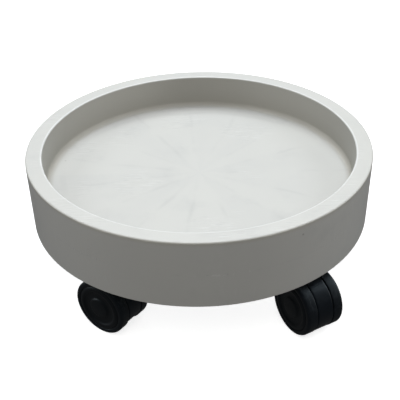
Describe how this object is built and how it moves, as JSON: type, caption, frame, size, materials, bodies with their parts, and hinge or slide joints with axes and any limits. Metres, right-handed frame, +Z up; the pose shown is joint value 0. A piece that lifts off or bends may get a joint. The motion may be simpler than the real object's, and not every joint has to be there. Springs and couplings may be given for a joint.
{
  "type": "plant pot caddy",
  "caption": "Round plant pot caddy: a moulded tray with a wide flat rim and a sunken floor, on twin-wheel swivel casters.",
  "frame": {"origin": "on the ground under the centre of the tray", "axes": "+Z up, the tray's axis; -Y is the front, towards the viewer; +X to the viewer's right"},
  "size_m": [0.3, 0.3, 0.118],
  "materials": {
    "tray_plastic": "fine satin moulded off-white plastic",
    "black_housing": "semi-gloss black moulded nylon",
    "black_wheel": "satin black moulded nylon",
    "black_tyre": "smooth black tread, lightly scuffed",
    "zinc_steel": "bright zinc-plated steel",
    "spring_steel": "blued spring steel"
  },
  "bodies": {
    "base": {"tray": "tray_plastic", "stem_1": "zinc_steel", "stem_2": "zinc_steel", "stem_3": "zinc_steel", "stem_4": "zinc_steel", "stem_5": "zinc_steel", "grip_ring_1": "spring_steel", "grip_ring_2": "spring_steel", "grip_ring_3": "spring_steel", "grip_ring_4": "spring_steel", "grip_ring_5": "spring_steel"},
    "caster_1": {"housing_1": "black_housing", "axle_1": "zinc_steel"},
    "left_wheel_1": {"wheel_left_1": "black_wheel", "tyre_left_1": "black_tyre"},
    "right_wheel_1": {"wheel_right_1": "black_wheel", "tyre_right_1": "black_tyre"},
    "caster_2": {"housing_2": "black_housing", "axle_2": "zinc_steel"},
    "left_wheel_2": {"wheel_left_2": "black_wheel", "tyre_left_2": "black_tyre"},
    "right_wheel_2": {"wheel_right_2": "black_wheel", "tyre_right_2": "black_tyre"},
    "caster_3": {"housing_3": "black_housing", "axle_3": "zinc_steel"},
    "left_wheel_3": {"wheel_left_3": "black_wheel", "tyre_left_3": "black_tyre"},
    "right_wheel_3": {"wheel_right_3": "black_wheel", "tyre_right_3": "black_tyre"},
    "caster_4": {"housing_4": "black_housing", "axle_4": "zinc_steel"},
    "left_wheel_4": {"wheel_left_4": "black_wheel", "tyre_left_4": "black_tyre"},
    "right_wheel_4": {"wheel_right_4": "black_wheel", "tyre_right_4": "black_tyre"},
    "caster_5": {"housing_5": "black_housing", "axle_5": "zinc_steel"},
    "left_wheel_5": {"wheel_left_5": "black_wheel", "tyre_left_5": "black_tyre"},
    "right_wheel_5": {"wheel_right_5": "black_wheel", "tyre_right_5": "black_tyre"}
  },
  "joints": [
    {"name": "swivel_1", "type": "hinge", "parent": "base", "child": "caster_1", "pos_m": [0.08004, -0.09208, 0.05], "axis": [0, 0, 1], "continuous": true},
    {"name": "left_roll_1", "type": "hinge", "parent": "caster_1", "child": "left_wheel_1", "pos_m": [0.08754, -0.10507, 0.025], "axis": [0.866, 0.5, 0], "continuous": true},
    {"name": "right_roll_1", "type": "hinge", "parent": "caster_1", "child": "right_wheel_1", "pos_m": [0.08754, -0.10507, 0.025], "axis": [0.866, 0.5, 0], "continuous": true},
    {"name": "swivel_2", "type": "hinge", "parent": "base", "child": "caster_2", "pos_m": [0.1123, 0.04767, 0.05], "axis": [0, 0, 1], "continuous": true},
    {"name": "left_roll_2", "type": "hinge", "parent": "caster_2", "child": "left_wheel_2", "pos_m": [0.1097, 0.06244, 0.025], "axis": [-0.9848, -0.1736, 0], "continuous": true},
    {"name": "right_roll_2", "type": "hinge", "parent": "caster_2", "child": "right_wheel_2", "pos_m": [0.1097, 0.06244, 0.025], "axis": [-0.9848, -0.1736, 0], "continuous": true},
    {"name": "swivel_3", "type": "hinge", "parent": "base", "child": "caster_3", "pos_m": [-0.01063, 0.12154, 0.05], "axis": [0, 0, 1], "continuous": true},
    {"name": "left_roll_3", "type": "hinge", "parent": "caster_3", "child": "left_wheel_3", "pos_m": [-0.02473, 0.1164, 0.025], "axis": [0.342, -0.9397, 0], "continuous": true},
    {"name": "right_roll_3", "type": "hinge", "parent": "caster_3", "child": "right_wheel_3", "pos_m": [-0.02473, 0.1164, 0.025], "axis": [0.342, -0.9397, 0], "continuous": true},
    {"name": "swivel_4", "type": "hinge", "parent": "base", "child": "caster_4", "pos_m": [-0.11887, 0.02744, 0.05], "axis": [0, 0, 1], "continuous": true},
    {"name": "left_roll_4", "type": "hinge", "parent": "caster_4", "child": "left_wheel_4", "pos_m": [-0.11137, 0.04043, 0.025], "axis": [-0.866, 0.5, 0], "continuous": true},
    {"name": "right_roll_4", "type": "hinge", "parent": "caster_4", "child": "right_wheel_4", "pos_m": [-0.11137, 0.04043, 0.025], "axis": [-0.866, 0.5, 0], "continuous": true},
    {"name": "swivel_5", "type": "hinge", "parent": "base", "child": "caster_5", "pos_m": [-0.06284, -0.10457, 0.05], "axis": [0, 0, 1], "continuous": true},
    {"name": "left_roll_5", "type": "hinge", "parent": "caster_5", "child": "left_wheel_5", "pos_m": [-0.07497, -0.09576, 0.025], "axis": [-0.5878, -0.809, 0], "continuous": true},
    {"name": "right_roll_5", "type": "hinge", "parent": "caster_5", "child": "right_wheel_5", "pos_m": [-0.07497, -0.09576, 0.025], "axis": [-0.5878, -0.809, 0], "continuous": true}
  ]
}
